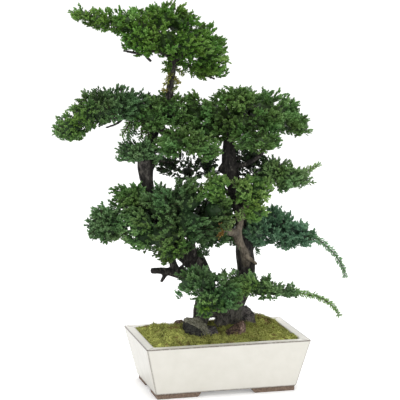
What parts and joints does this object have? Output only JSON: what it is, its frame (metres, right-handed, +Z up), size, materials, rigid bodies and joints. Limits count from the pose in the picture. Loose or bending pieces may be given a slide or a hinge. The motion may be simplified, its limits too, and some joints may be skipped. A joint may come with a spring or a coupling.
{
  "type": "garden juniper bonsai",
  "caption": "Upright garden juniper bonsai with leaning trunks, layered pads of green foliage and long drooping tails, growing from moss and stones in a rectangular white glazed pot.",
  "frame": {"origin": "on the surface the pot stands on, under the middle of the tree's outline", "axes": "+Z up along the tree; +X to the right along the pot's long side, towards the low branch tails; the viewer's side, with the pale branch in front of the trunk, faces -Y"},
  "size_m": [0.7244, 0.254, 0.9313],
  "materials": {
    "white_glaze": "gloss",
    "screen_mesh": "matte",
    "soil": "matte",
    "moss": "matte",
    "pale_stone": "matte",
    "dark_stone": "matte",
    "brown_stone": "matte",
    "bark": "matte",
    "foliage": "matte"
  },
  "bodies": {
    "root": {"pot": "white_glaze", "drain_screen_left": "screen_mesh", "drain_screen_right": "screen_mesh", "soil": "soil", "moss": "moss", "stone_slab": "pale_stone", "stone_dark": "dark_stone", "stone_brown": "brown_stone", "stone_small": "pale_stone", "tree_wood": "bark", "foliage_crown": "foliage", "foliage_upper_left": "foliage", "foliage_upper_centre": "foliage", "foliage_centre_front": "foliage", "foliage_upper_right": "foliage", "foliage_upper_right_front": "foliage", "foliage_small_left": "foliage", "foliage_inner_left": "foliage", "foliage_inner_right": "foliage", "foliage_middle_right": "foliage", "foliage_left_tip": "foliage", "foliage_upper_mid_left": "foliage", "foliage_centre": "foliage", "foliage_centre_back": "foliage", "foliage_front_trunk": "foliage", "foliage_lower_right": "foliage", "foliage_low_front": "foliage", "foliage_low_right": "foliage"}
  },
  "joints": []
}
